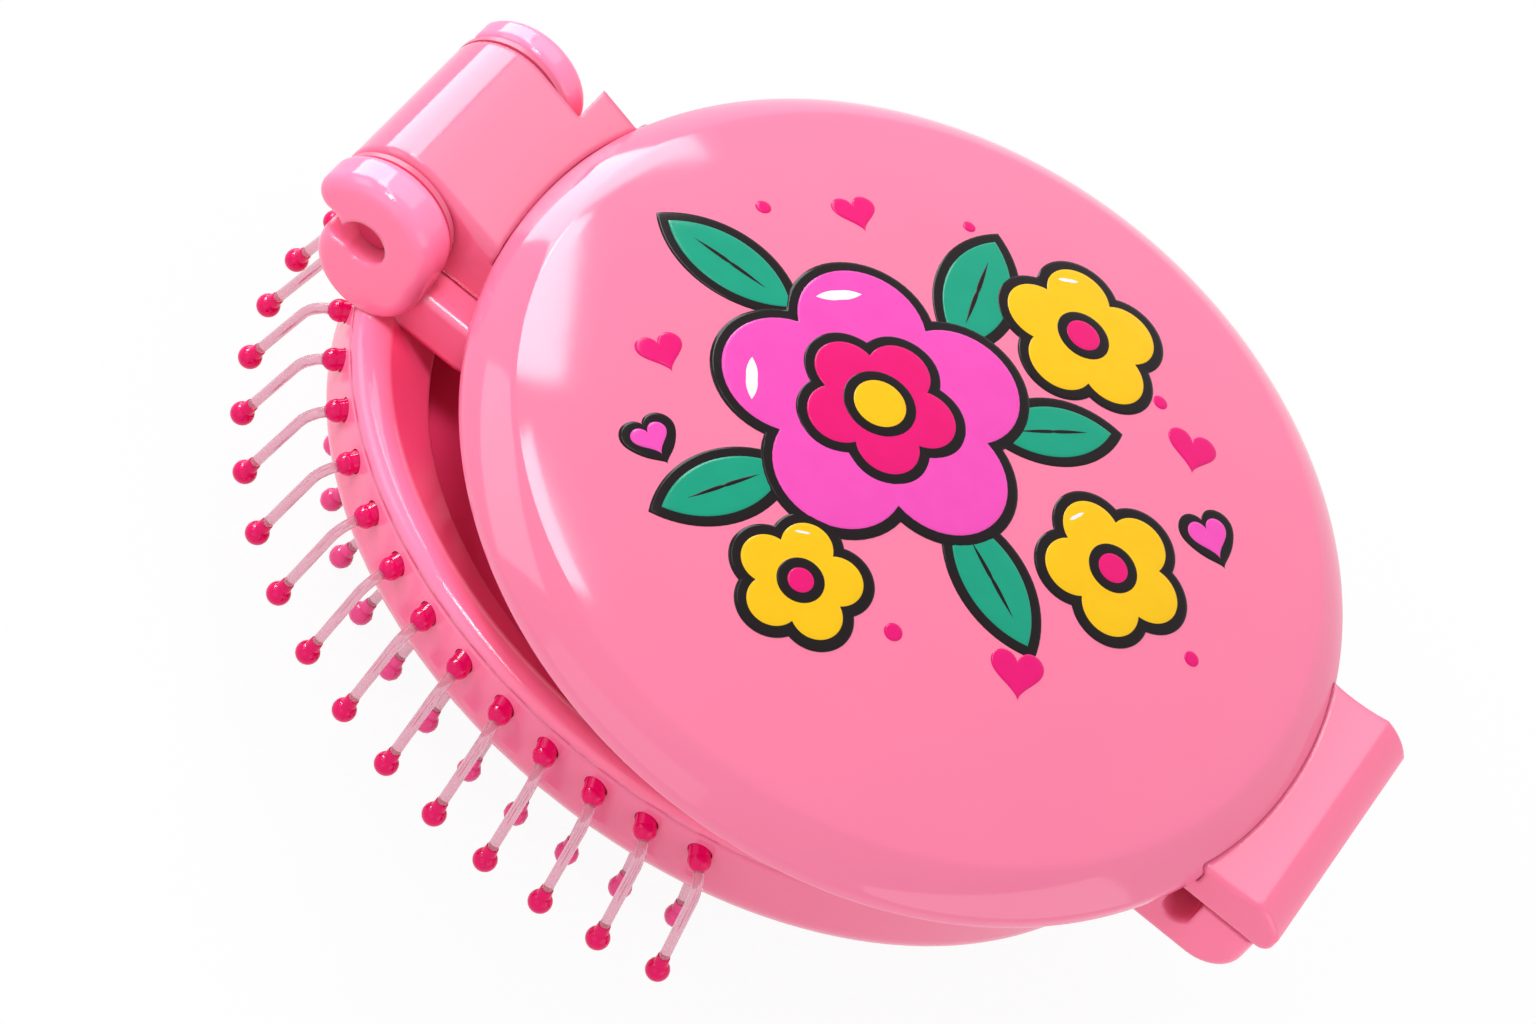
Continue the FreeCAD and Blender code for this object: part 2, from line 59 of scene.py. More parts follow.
nodes = frame["nodes"]
mm = 0.001
weld_gap = 1e-4

# Lid cover: an upright band, a shoulder with a slight bulge, and a dome
lid_low, lid_high = (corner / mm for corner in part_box("lid_cover"))
lid_radius = lid_high.x
lid_edge = lid_low.z
print_room = 0.2
lid_top = lid_high.z - print_room
lid_wall = 1.6
lid_band = 1.25
lid_shoulder_inset = 3.2
lid_shoulder = 3.8
lid_shoulder_bulge = 0.15
lid_turns = 240
shoulder_steps = 14
dome_steps = 24
inner_dome_steps = 8
crease_round = 0.28
crease_segments = 3
crease_angle = 14.0
dome_edge = lid_radius - lid_shoulder_inset
dome_rise = lid_top - lid_edge - lid_shoulder
dome_radius = (dome_edge ** 2 + dome_rise ** 2) / (2 * dome_rise)

# Tray: an oval bowl under the frame's slope; inside the rim and above the floor's skin its pink is painted
# deeper, as painted shade
bowl_low, bowl_high = (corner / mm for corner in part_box("bristle_bowl"))
tray_middle = (bowl_low.x + bowl_high.x) / 2
tray_half = ((bowl_high.x - bowl_low.x) / 2, bowl_high.y)
slope_edge_share = 0.95
slope_rise = 0.5
bowl_skin = 1.6
# Width over which the painted shade fades in
painted_shade_fade = 0.3

# Bristles: the side row bends down out of the skirt, the bowl rows stand straight
side_rows = [1]
bowl_rows = [2, 3, 4, 5, 6]
side_start_tilt = 72.0
side_end_tilt = 14.0
side_lead = 1.7
side_bend = 2.4
bend_steps = 6
stem_radius = 0.45
stem_sides = 10
tip_radius = 1.0
tip_neck_start = -1.5
tip_neck_radii = (0.52, 0.62)
boss_radius = 0.95
boss_place = 0.8
boss_neck_start = -0.4
boss_neck_radii = (0.9, 0.86)
side_bead_counts = {"Sides": 20, "Rings": 12}
bowl_bead_counts = {"Sides": 12, "Rings": 7}
line_ends = 2
sharp_edge = 50.0
stem_sizes = {
    "Radius": stem_radius,
    "Root Trim": boss_place,
    "Tip Trim": -(tip_neck_start + stem_radius),
}
boss_sizes = {
    "Ball Radius": boss_radius,
    "Ball Place": boss_place,
    "Neck Start": boss_neck_start,
    "Neck Length": boss_place - boss_neck_start,
    "Start Radius": boss_neck_radii[0],
    "End Radius": boss_neck_radii[1],
}
tip_sizes = {
    "Ball Radius": tip_radius,
    "Ball Place": 0.0,
    "Neck Start": tip_neck_start,
    "Neck Length": -tip_neck_start / 2,
    "Start Radius": tip_neck_radii[0],
    "End Radius": tip_neck_radii[1],
}

# Pads of ink on the dome: each has a lip, a rounded rim and a flat top
print_turn = 42.0
print_shift = (1.0, 2.0)
outline_width = 0.85
ink_thickness = 0.055
ink_sink = 0.03
ink_lip = 0.08
ink_lip_share = 0.72
ink_rim = 0.32
ink_least_share = 0.2
ink_inner_rings = (0.75, 0.5, 0.25)

# Heights of the pads, counted in thicknesses of ink
low_layer = 0.8
petal_layer = 1.6
glint_layer = 2.2
inner_layer = 2.4
middle_layer = 3.2
colour_lift = 0.4

# Shapes of the motifs, as shares of their size
petals = 5
petal_steps = 24
petal_reach = 0.58
eye_share = 0.24
leaf_steps = 12
leaf_slimness = 0.44
vein_share = 0.6
vein_slimness = 0.06
heart_steps = 64
heart_half_width = 16
heart_waves = (13, -5, -2, -1)
heart_lift = 2.5
dot_steps = 36
glint_reach = 0.8
glint_share = 0.34
glint_slimness = 0.3
glint_turn = 80

# Motifs of the print: place, size and turn
main_place = (-6, 2)
main_size, main_turn = 13, 18
main_glint_angles = (98, 170)
inner_size, inner_turn = 6.6, 54
middle_size = 2.4
leaves = [((5, 14), 13, 62), ((1, -13), 12, -68), ((-20, -6), 11, 20), ((9, 1), 11, 6),
          ((-16, 15), 12, -44)]
small_blossoms = [((14, 11), 7.0, 10), ((12, -11), 6.2, 40), ((-15, -14), 5.2, 0)]
plain_hearts = [((22, 1), 2.3, -14), ((-4, 21), 2.0, 12), ((-23, 6), 2.0, 16), ((2, -21), 2.3, -8)]
outlined_hearts = [((-25, -2), 1.6, 24), ((22, -7), 2.0, 18)]
dots = [((-12, 21), 0.7), ((20, 5.5), 0.7), ((-8, -18), 0.8), ((6, 21), 0.6), ((18, -18), 0.7)]

# Surfaces
cloud_detail = 3.0
wave_detail = 2.0
gloss_spread = 0.2
edge_samples = 8

# Stage
floor_reach = 4000
floor_cells = 8
floor_glow = 0.94
room_light = 0.63

# Lamps: name, middles of two opposite edges, width and radiance
room_lamps = [
    ("back_window", (-576, 445, 54), (-324, 450, 480), 250, 6.0),
    ("dome_window", (-359, 424, 484), (-307, 286, 598), 120, 9.0),
    ("top_window", (-280, 238, 630), (-171, 149, 690), 60, 9.0),
    ("front_fill", (-450, -600, 300), (50, -600, 300), 500, 0.55),
    ("right_fill", (550, -550, 250), (650, 50, 250), 400, 1.1),
    ("left_fill", (-500, -330, 420), (-620, 120, 420), 300, 2.1),
]
tray_lamp = ("tray_fill", (-220, -50, 700), (-70, -190, 700), 200, 24.0)
tab_lamp = ("tab_window", (-327, 507, 646), (273, 507, 646), 400, 1.8)
bead_lamp = ("bead_spark", (-528, 268, 410), (-592, -4, 410), 280, 30.0)

# Camera: the view that the photograph has of the lid's middle
image_width, image_height = 1536, 1024
focal_pixels = 5300.0
pixels_per_mm = 12.74
lid_middle_pixel = (909.0, 501.0)
view_azimuth = 3.1
view_elevation = 50.57
view_roll = 36.43
sensor_width = 36.0


def linear(code):
    """An sRGB hex colour as linear RGBA."""
    def channel(text):
        value = int(text, 16) / 255
        return value / 12.92 if value <= 0.04045 else ((value + 0.055) / 1.055) ** 2.4

    return (channel(code[1:3]), channel(code[3:5]), channel(code[5:7]), 1.0)


def add(tree, kind, inputs=None, **settings):
    """Add a node: settings are its properties, inputs are values or the sockets to link from."""
    made = tree.nodes.new(kind)
    for name, value in settings.items():
        setattr(made, name, value)
    for key, value in (inputs or {}).items():
        if isinstance(value, bpy.types.NodeSocket):
            tree.links.new(value, made.inputs[key])
        else:
            made.inputs[key].default_value = value
    return made


def new_material(name):
    """A material with an empty tree."""
    made = bpy.data.materials.new(name)
    made.use_nodes = True
    made.node_tree.nodes.clear()
    return made


def moulded(name, colour, deep, roughness, mottle=9.0, dimple=1.4, dimple_depth=0.002, edge_round=0.0,
            **sockets):
    """A moulded or printed plastic: cloudy colour, uneven gloss, a faint waviness and soft edges."""
    made = new_material(name)
    tree = made.node_tree
    place = add(tree, "ShaderNodeTexCoord").outputs["Object"]
    cloud = add(tree, "ShaderNodeTexNoise",
                {"Vector": place, "Scale": 1 / (mottle * mm), "Detail": cloud_detail})
    tint = add(tree, "ShaderNodeMix",
               {"Factor": cloud.outputs["Fac"], "A": linear(deep), "B": linear(colour)}, data_type="RGBA")
    wave = add(tree, "ShaderNodeTexNoise",
               {"Vector": place, "Scale": 1 / (dimple * mm), "Detail": wave_detail})
    gloss = add(tree, "ShaderNodeMapRange",
                {"Value": wave.outputs["Fac"], "To Min": roughness * (1 - gloss_spread),
                 "To Max": roughness * (1 + gloss_spread)})
    relief = {"Height": wave.outputs["Fac"], "Strength": 1.0, "Distance": dimple_depth * mm}
    if edge_round:
        soft = add(tree, "ShaderNodeBevel", {"Radius": edge_round * mm}, samples=edge_samples)
        relief["Normal"] = soft.outputs["Normal"]
    bump = add(tree, "ShaderNodeBump", relief)
    surface = {"Base Color": tint.outputs["Result"], "Roughness": gloss.outputs["Result"],
               "Normal": bump.outputs["Normal"]}
    surface.update({label.replace("_", " "): value for label, value in sockets.items()})
    shader = add(tree, "ShaderNodeBsdfPrincipled", surface)
    add(tree, "ShaderNodeOutputMaterial", {"Surface": shader.outputs["BSDF"]})
    return made


def paint_tray_shade(material, colour, low, high):
    """Paint shade into a moulding's colour inside the tray, between two heights: a deeper pink that stands
    in for the shade there.
    """
    tree = material.node_tree
    shader = tree.nodes["Principled BSDF"]
    outer = shader.inputs["Base Color"].links[0].from_socket
    place = add(tree, "ShaderNodeTexCoord").outputs["Object"]
    height = add(tree, "ShaderNodeSeparateXYZ", {"Vector": place}).outputs["Z"]
    scale = (1 / (tray_half[0] * mm), 1 / (tray_half[1] * mm), 0)
    shift = (-tray_middle / tray_half[0], 0, 0)
    plan = add(tree, "ShaderNodeVectorMath", {0: place, 1: scale, 2: shift}, operation="MULTIPLY_ADD")
    reach = add(tree, "ShaderNodeVectorMath", {0: plan.outputs["Vector"]}, operation="LENGTH")
    limits = [(reach.outputs["Value"], slope_edge_share, slope_edge_share - painted_shade_fade / tray_half[1]),
              (height, high * mm, (high - painted_shade_fade) * mm),
              (height, low * mm, (low + painted_shade_fade) * mm)]
    painted_shade_mask = 1.0
    for value, outside, inside in limits:
        part = add(tree, "ShaderNodeMapRange", {"Value": value, "From Min": outside, "From Max": inside})
        both = add(tree, "ShaderNodeMath", {0: part.outputs["Result"], 1: painted_shade_mask}, operation="MULTIPLY")
        painted_shade_mask = both.outputs[0]
    # The painted shade: the deeper pink is mixed in where the mask is one
    mixed = add(tree, "ShaderNodeMix", {"Factor": painted_shade_mask, "A": outer, "B": linear(colour)}, data_type="RGBA")
    tree.links.new(mixed.outputs["Result"], shader.inputs["Base Color"])


# Candy-pink gloss ABS: even colour, sharp soft-box reflections
cover_abs = moulded("gloss_abs_cover", "#fb7da3", "#f979a0", roughness=0.08, IOR=1.54)
# The same ABS on the frame mouldings: a little deeper, with round edges that catch thin lines of light
frame_abs = moulded("gloss_abs_frame", "#fc769d", "#fa7199", roughness=0.1, edge_round=0.7, IOR=1.54)
# Softer pink polypropylene of the bristle bowl
bowl_plastic = moulded("polypropylene_bowl", "#f8779d", "#f46f97", roughness=0.16, IOR=1.49)
# Painted shade: inside the tray the pink is painted deeper, standing in for the saturated shade of walls
# that light only each other
paint_tray_shade(frame_abs, "#fb4f80", 0.0, bowl_high.z + slope_rise)
paint_tray_shade(bowl_plastic, "#ee3f70", bowl_low.z + bowl_skin, bowl_high.z)
# Drawn and cast surfaces have no waviness
even = {"dimple": 4.0, "dimple_depth": 0.0}
# Clear drawn nylon: the stems show what is behind them, with a pale pink cast
clear_nylon = moulded("clear_nylon_stem", "#f4c0d0", "#efb4c7", roughness=0.08, **even, IOR=1.45,
                      Transmission_Weight=0.7)
# Magenta epoxy beads: saturated and wet-looking
epoxy_bead = moulded("magenta_epoxy_bead", "#ee0468", "#e60462", roughness=0.07, mottle=4.0, **even,
                     Specular_IOR_Level=0.2)
# Beads of the bowl rows: the same epoxy painted paler, a painted light that lifts the shade these rows
# stand in
painted_light_bead = moulded("magenta_epoxy_bead_painted_lighter", "#ff60a4", "#fc4795", roughness=0.12, mottle=2.5, **even,
                    Specular_IOR_Level=0.25)
# Silvered float glass: a clean reflection with the faintest ripple
mirror_glass = moulded("silvered_mirror_glass", "#eef1f2", "#e9edef", roughness=0.03, mottle=20.0,
                       dimple=6.0, dimple_depth=0.0004, Metallic=1.0)
# Polyethylene foam tape: matt, with open cells
foam_tape = moulded("polyethylene_foam_tape", "#f3f0ea", "#dcd7cd", roughness=0.85, mottle=1.0, dimple=0.6,
                    dimple_depth=0.08)
# Deep pink acetal pin, seen only at the bottom of its bore
acetal_pin = moulded("acetal_hinge_pin", "#d23a63", "#c93059", roughness=0.3, mottle=2.0, IOR=1.48)
# Acetal washers: waxy and slightly deeper than the frame
acetal_washer = moulded("acetal_washer", "#f47498", "#ee6c91", roughness=0.32, IOR=1.48)

# Gloss screen inks, laid thick enough to catch the light at their edges
ink_colours = {
    "black": ("#17090f", "#100509"),
    "yellow": ("#fbc70d", "#f6bd06"),
    "teal": ("#10a382", "#0c997a"),
    "hot_pink": ("#ee0a79", "#e60570"),
    "magenta": ("#f453bd", "#ee49b4"),
    "white": ("#fff6fa", "#fdeef4"),
}
inks = {name: moulded(f"gloss_ink_{name}", *pair, roughness=0.14, mottle=2.0, dimple=0.8,
                      Specular_IOR_Level=0.2)
        for name, pair in ink_colours.items()}


def mesh_object(name, mesh, materials):
    """A smooth object at the origin from a mesh in millimetres."""
    data = bpy.data.meshes.new(name)
    bmesh.ops.scale(mesh, vec=(mm, mm, mm), verts=mesh.verts)
    mesh.to_mesh(data)
    mesh.free()
    data.polygons.foreach_set("use_smooth", [True] * len(data.polygons))
    for material in materials:
        data.materials.append(material)
    made = bpy.data.objects.new(name, data)
    bpy.context.scene.collection.objects.link(made)
    return made


def flattened(made):
    """Turn an object with live modifiers into a plain mesh object of the same name."""
    graph = bpy.context.evaluated_depsgraph_get()
    data = bpy.data.meshes.new_from_object(made.evaluated_get(graph), depsgraph=graph)
    # A mesh grown along curves has an empty slot before its material
    if data.materials[0] is None:
        data.materials.pop(index=0)
    name = made.name
    bpy.data.objects.remove(made)
    plain = bpy.data.objects.new(name, data)
    bpy.context.scene.collection.objects.link(plain)
    return plain


def arc_through(start, middle, end, steps):
    """Points of the circular arc through three points, without the first."""
    start, middle, end = (np.array(point) for point in (start, middle, end))
    chords = np.array([middle - start, end - start])
    squares = [middle @ middle - start @ start, end @ end - start @ start]
    centre = Vector(np.linalg.solve(2 * chords, squares))
    first = Vector(start) - centre
    last = Vector(end) - centre
    turn = -first.angle_signed(last)
    return [tuple(centre + Matrix.Rotation(turn * step / steps, 2) @ first) for step in range(1, steps + 1)]


def dome_height(x, y):
    """Height of the lid's dome over a point of the plan."""
    return lid_top - dome_radius + sqrt(dome_radius ** 2 - x * x - y * y)


def lid_cover():
    """The lid's shell, turned round the upright axis, with softened creases."""
    band = (lid_radius, lid_edge + lid_band)
    shoulder = (dome_edge, lid_edge + lid_shoulder)
    bulge = [(low + high) / 2 + lid_shoulder_bulge for low, high in zip(band, shoulder)]
    outside = [(lid_radius - lid_wall, lid_edge), (lid_radius, lid_edge), band]
    outside += arc_through(band, bulge, shoulder, shoulder_steps)
    for step in range(1, dome_steps + 1):
        far = dome_edge * (1 - step / dome_steps)
        outside.append((far, dome_height(far, 0)))
    inside = [(0, lid_top - lid_wall)]
    for step in range(1, inner_dome_steps):
        far = dome_edge * step / inner_dome_steps
        inside.append((far, dome_height(far, 0) - lid_wall))
    inside += [(dome_edge - lid_wall / 2, shoulder[1] - lid_wall), (lid_radius - lid_wall, band[1])]
    mesh = bmesh.new()
    points = [mesh.verts.new((x, 0, z)) for x, z in outside + inside]
    edges = [mesh.edges.new(pair) for pair in zip(points, points[1:] + points[:1])]
    bmesh.ops.spin(mesh, geom=points + edges, axis=(0, 0, 1), cent=(0, 0, 0), steps=lid_turns, angle=2 * pi)
    bmesh.ops.remove_doubles(mesh, verts=mesh.verts, dist=weld_gap)
    bmesh.ops.recalc_face_normals(mesh, faces=mesh.faces)
    made = mesh_object("lid_cover_shell", mesh, [cover_abs])
    bevel = made.modifiers.new("crease_round", "BEVEL")
    bevel.width = crease_round * mm
    bevel.segments = crease_segments
    bevel.angle_limit = radians(crease_angle)
    made = flattened(made)
    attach(made, "lid")
    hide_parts("lid_cover")


# Outlines of the printed motifs, each round its own middle and grown by a border
def around(steps):
    """Equal steps round a circle, in radians."""
    return [2 * pi * step / steps for step in range(steps)]


def blossom(radius, border):
    """A flower of round petals."""
    reach = radius * petal_reach
    petal = radius - reach + border
    points = []
    for angle in around(petal_steps * petals):
        off = (angle + pi / petals) % (2 * pi / petals) - pi / petals
        far = reach * cos(off) + sqrt(max(petal ** 2 - (reach * sin(off)) ** 2, 0))
        points.append((far * cos(angle), far * sin(angle)))
    return points


def leaf(length, border, slimness=leaf_slimness):
    """A leaf between two equal arcs."""
    half = length / 2
    width = half * slimness
    arc = (half ** 2 + width ** 2) / (2 * width)
    low = width - arc
    grown = arc + border
    spread = asin(sqrt(grown ** 2 - low ** 2) / grown)
    side = []
    for step in range(2 * leaf_steps):
        angle = spread * (1 - step / leaf_steps)
        side.append((grown * sin(angle), low + grown * cos(angle)))
    return side + [(-x, -y) for x, y in side]


def heart(size, border):
    """A heart whose outline is a sum of waves."""
    points = []
    for start in around(heart_steps):
        angle = start + pi / heart_steps
        x = heart_half_width * sin(angle) ** 3
        y = heart_lift + sum(wave * cos(count * angle) for count, wave in enumerate(heart_waves, 1))
        grow = size / heart_half_width + border / hypot(x, y)
        points.append((x * grow, y * grow))
    return points[::-1]


def dot(radius, border):
    """A round dot."""
    far = radius + border
    return [(far * cos(angle), far * sin(angle)) for angle in around(dot_steps)]


def plate(mesh, outline, place, turn, layer, ink):
    """A thin pad of ink with a rounded edge that follows the dome."""
    height = layer * ink_thickness
    art = Matrix.Rotation(radians(print_turn), 2)
    spin = Matrix.Rotation(radians(turn), 2)
    slot = list(inks).index(ink)

    def drawn_in(inset):
        ring = []
        for x, y in outline:
            share = max(1 - inset / hypot(x, y), ink_least_share)
            ring.append((x * share, y * share))
        return ring

    def vertex(point, lift):
        x, y = art @ (spin @ Vector(point) + Vector(place) + Vector(print_shift))
        return mesh.verts.new((x, y, dome_height(x, y) + lift))

    top = drawn_in(ink_rim)
    rings = [(outline, -ink_sink), (drawn_in(ink_lip), ink_lip_share * height), (top, height)]
    rings += [([(x * share, y * share) for x, y in top], height) for share in ink_inner_rings]
    made = [[vertex(point, lift) for point in ring] for ring, lift in rings]
    middle = vertex((0, 0), height)
    faces = []
    for outer, inner in zip(made, made[1:]):
        for index in range(len(outer)):
            faces.append((outer[index - 1], outer[index], inner[index], inner[index - 1]))
    faces += [(made[-1][index - 1], made[-1][index], middle) for index in range(len(outline))]
    for corners in faces:
        mesh.faces.new(corners).material_index = slot


def motif(mesh, shape, size, place, turn, layer, ink, outlined=True):
    """One printed motif: a black pad a border larger, and the coloured pad on it."""
    if outlined:
        plate(mesh, shape(size, outline_width), place, turn, layer, "black")
    plate(mesh, shape(size, 0), place, turn, layer + colour_lift, ink)


def glint(mesh, size, place, angle):
    """A short white stroke near the edge of a petal."""
    far = glint_reach * size
    spot = (place[0] + far * cos(radians(angle)), place[1] + far * sin(radians(angle)))
    plate(mesh, leaf(glint_share * size, 0, glint_slimness), spot, angle + 90, glint_layer, "white")


def lid_print():
    """The printed design: a large flower among leaves, small flowers, hearts and dots."""
    mesh = bmesh.new()
    for place, length, turn in leaves:
        motif(mesh, leaf, length, place, turn, low_layer, "teal")
        plate(mesh, leaf(length * vein_share, 0, vein_slimness), place, turn, petal_layer, "black")
    motif(mesh, blossom, main_size, main_place, main_turn, petal_layer, "magenta")
    for angle in main_glint_angles:
        glint(mesh, main_size, main_place, angle)
    motif(mesh, blossom, inner_size, main_place, inner_turn, inner_layer, "hot_pink")
    motif(mesh, dot, middle_size, main_place, 0, middle_layer, "yellow")
    for place, size, turn in small_blossoms:
        motif(mesh, blossom, size, place, turn, petal_layer, "yellow")
        motif(mesh, dot, size * eye_share, place, 0, inner_layer, "hot_pink")
        glint(mesh, size, place, turn + glint_turn)
    for place, size, turn in plain_hearts:
        motif(mesh, heart, size, place, turn, low_layer, "hot_pink", outlined=False)
    for place, size, turn in outlined_hearts:
        motif(mesh, heart, size, place, turn, low_layer, "magenta")
    for place, size in dots:
        motif(mesh, dot, size, place, 0, low_layer, "hot_pink", outlined=False)
    bmesh.ops.recalc_face_normals(mesh, faces=mesh.faces)
    made = mesh_object("lid_print", mesh, list(inks.values()))
    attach(made, "lid")


def islands(node):
    """Middles of a piece's separate solids, in the order they were made."""
    mesh = bmesh.new()
    mesh.from_mesh(nodes[node].data)
    bmesh.ops.remove_doubles(mesh, verts=mesh.verts, dist=weld_gap * mm)
    seen = set()
    middles = []
    for start in mesh.verts:
        if start in seen:
            continue
        seen.add(start)
        front = [start]
        group = []
        while front:
            here = front.pop()
            group.append(here.co)
            for edge in here.link_edges:
                other = edge.other_vert(here)
                if other not in seen:
                    seen.add(other)
                    front.append(other)
        corners = np.array([tuple(point) for point in group]) / mm
        middles.append(Vector((corners.min(0) + corners.max(0)) / 2))
    mesh.free()
    return middles


def straight_path(root, tip):
    """Straight from the root to the tip."""
    return [root, tip]


def bent_path(root, tip):
    """Straight out of the skirt, round the bend and on to the tip."""
    out = Vector((tip.x - root.x, tip.y - root.y, 0)).normalized()
    fall = Vector((0, 0, -1))

    def line(tilt):
        return out * sin(radians(tilt)) + fall * cos(radians(tilt))

    here = root + line(side_start_tilt) * side_lead
    points = [root, here]
    step_tilt = (side_end_tilt - side_start_tilt) / bend_steps
    for step in range(bend_steps):
        here = here + line(side_start_tilt + (step + 0.5) * step_tilt) * side_bend * radians(-step_tilt)
        points.append(here)
    return points + [tip]


def bristle_lines(name, rows, path):
    """One curve per bristle, from its root to the middle of its ball tip."""
    data = bpy.data.curves.new(name, "CURVE")
    data.dimensions = "3D"
    for row in rows:
        tips = islands(f"ball_tips_row_{row}")
        for root in islands(f"root_collars_row_{row}"):
            tip = min(tips, key=lambda point: (point - root).length)
            points = path(root, tip)
            spline = data.splines.new("POLY")
            spline.points.add(len(points) - 1)
            for point, place in zip(spline.points, points):
                point.co = (*(place * mm), 1)
    made = bpy.data.objects.new(name, data)
    bpy.context.scene.collection.objects.link(made)
    return made


def new_tree(name, sizes, counts):
    """A geometry tree with inputs for a geometry, named sizes and counts, and a material."""
    tree = bpy.data.node_groups.new(name, "GeometryNodeTree")
    inputs = {"Geometry": "NodeSocketGeometry"}
    inputs.update({label: "NodeSocketFloat" for label in sizes})
    inputs.update({label: "NodeSocketInt" for label in counts})
    inputs["Material"] = "NodeSocketMaterial"
    for label, kind in inputs.items():
        tree.interface.new_socket(label, in_out="INPUT", socket_type=kind)
    tree.interface.new_socket("Geometry", in_out="OUTPUT", socket_type="NodeSocketGeometry")
    return tree, add(tree, "NodeGroupInput").outputs


def end_tree(tree, geometry, material):
    """Smooth a geometry up to its sharp edges, make it real and give it its material."""
    smooth = add(tree, "GeometryNodeSetShadeSmooth", {"Geometry": geometry})
    angle = add(tree, "GeometryNodeInputMeshEdgeAngle").outputs["Unsigned Angle"]
    sharp = add(tree, "FunctionNodeCompare", {"A": angle, "B": radians(sharp_edge)},
                operation="GREATER_THAN")
    creased = add(tree, "GeometryNodeSetShadeSmooth",
                  {"Geometry": smooth.outputs["Geometry"], "Selection": sharp.outputs["Result"],
                   "Shade Smooth": False}, domain="EDGE")
    real = add(tree, "GeometryNodeRealizeInstances", {"Geometry": creased.outputs["Geometry"]})
    coloured = add(tree, "GeometryNodeSetMaterial",
                   {"Geometry": real.outputs["Geometry"], "Material": material})
    add(tree, "NodeGroupOutput", {"Geometry": coloured.outputs["Geometry"]})


def stem_tree():
    """A round stem along each curve, from its boss to the neck of its tip."""
    tree, source = new_tree("bristle_stem", stem_sizes, ["Sides"])
    length = add(tree, "GeometryNodeSplineLength").outputs["Length"]
    end = add(tree, "ShaderNodeMath", {0: length, 1: source["Tip Trim"]}, operation="SUBTRACT")
    line = add(tree, "GeometryNodeTrimCurve", {"Curve": source["Geometry"]}, mode="LENGTH")
    lengths = [socket for socket in line.inputs if socket.enabled and socket.name in ("Start", "End")]
    tree.links.new(source["Root Trim"], lengths[0])
    tree.links.new(end.outputs[0], lengths[1])
    ring = add(tree, "GeometryNodeCurvePrimitiveCircle",
               {"Resolution": source["Sides"], "Radius": source["Radius"]})
    stem = add(tree, "GeometryNodeCurveToMesh",
               {"Curve": line.outputs["Curve"], "Profile Curve": ring.outputs["Curve"], "Fill Caps": True})
    end_tree(tree, stem.outputs["Mesh"], source["Material"])
    return tree


def bead_tree(name, end):
    """A ball with a neck on the root (0) or the tip (1) of every curve, turned along the bristle."""
    tree, source = new_tree(name, boss_sizes, side_bead_counts)
    ball = add(tree, "GeometryNodeMeshUVSphere",
               {"Segments": source["Sides"], "Rings": source["Rings"], "Radius": source["Ball Radius"]})
    neck = add(tree, "GeometryNodeMeshCone",
               {"Vertices": source["Sides"], "Radius Top": source["End Radius"],
                "Radius Bottom": source["Start Radius"], "Depth": source["Neck Length"]})
    joined = add(tree, "GeometryNodeJoinGeometry")
    for form, place in ((ball, "Ball Place"), (neck, "Neck Start")):
        shift = add(tree, "ShaderNodeCombineXYZ", {"Z": source[place]})
        moved = add(tree, "GeometryNodeTransform",
                    {"Geometry": form.outputs["Mesh"], "Translation": shift.outputs["Vector"]})
        tree.links.new(moved.outputs["Geometry"], joined.inputs["Geometry"])
    ends = add(tree, "GeometryNodeCurveToPoints", {"Curve": source["Geometry"], "Count": line_ends}).outputs
    index = add(tree, "GeometryNodeInputIndex").outputs["Index"]
    side = add(tree, "FunctionNodeIntegerMath", {0: index, 1: line_ends}, operation="MODULO")
    chosen = add(tree, "FunctionNodeCompare", {"A": side.outputs[0], "B": end}, data_type="INT",
                 operation="EQUAL")
    placed = add(tree, "GeometryNodeInstanceOnPoints",
                 {"Points": ends["Points"], "Selection": chosen.outputs["Result"],
                  "Instance": joined.outputs["Geometry"], "Rotation": ends["Rotation"]})
    end_tree(tree, placed.outputs["Instances"], source["Material"])
    return tree


def grow(name, lines, tree, material, sizes, counts):
    """Run a tree on bristle lines and keep the result as a plain mesh."""
    made = bpy.data.objects.new(name, lines.data.copy())
    bpy.context.scene.collection.objects.link(made)
    modifier = made.modifiers.new(tree.name, "NODES")
    modifier.node_group = tree
    values = {label: size * mm for label, size in sizes.items()}
    values.update(counts)
    values["Material"] = material
    for item in tree.interface.items_tree:
        if item.in_out == "INPUT" and item.name in values:
            modifier[item.identifier] = values[item.name]
    return flattened(made)


def bristles():
    """Grow every stem, boss and tip; returns the bosses and tips."""
    stem = stem_tree()
    boss = bead_tree("root_boss", 0)
    tip = bead_tree("ball_tip", 1)
    groups = [("side", side_rows, bent_path, epoxy_bead, side_bead_counts),
              ("bowl", bowl_rows, straight_path, painted_light_bead, bowl_bead_counts)]
    beads = []
    for name, rows, path, bead, counts in groups:
        lines = bristle_lines(f"{name}_lines", rows, path)
        stems = grow(f"{name}_stems", lines, stem, clear_nylon, stem_sizes, {"Sides": stem_sides})
        bosses = grow(f"{name}_bosses", lines, boss, epoxy_bead, boss_sizes, counts)
        tips = grow(f"{name}_tips", lines, tip, bead, tip_sizes, counts)
        kinds = [(stems, "bristle_pins", "clear_nylon"), (bosses, "root_collars", "magenta_root"),
                 (tips, "ball_tips", "magenta_tip")]
        for made, node, slot in kinds:
            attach(made, "base")
            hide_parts(*[f"{node}_row_{row}" for row in rows])
        beads += [bosses, tips]
        bpy.data.objects.remove(lines)
    return beads


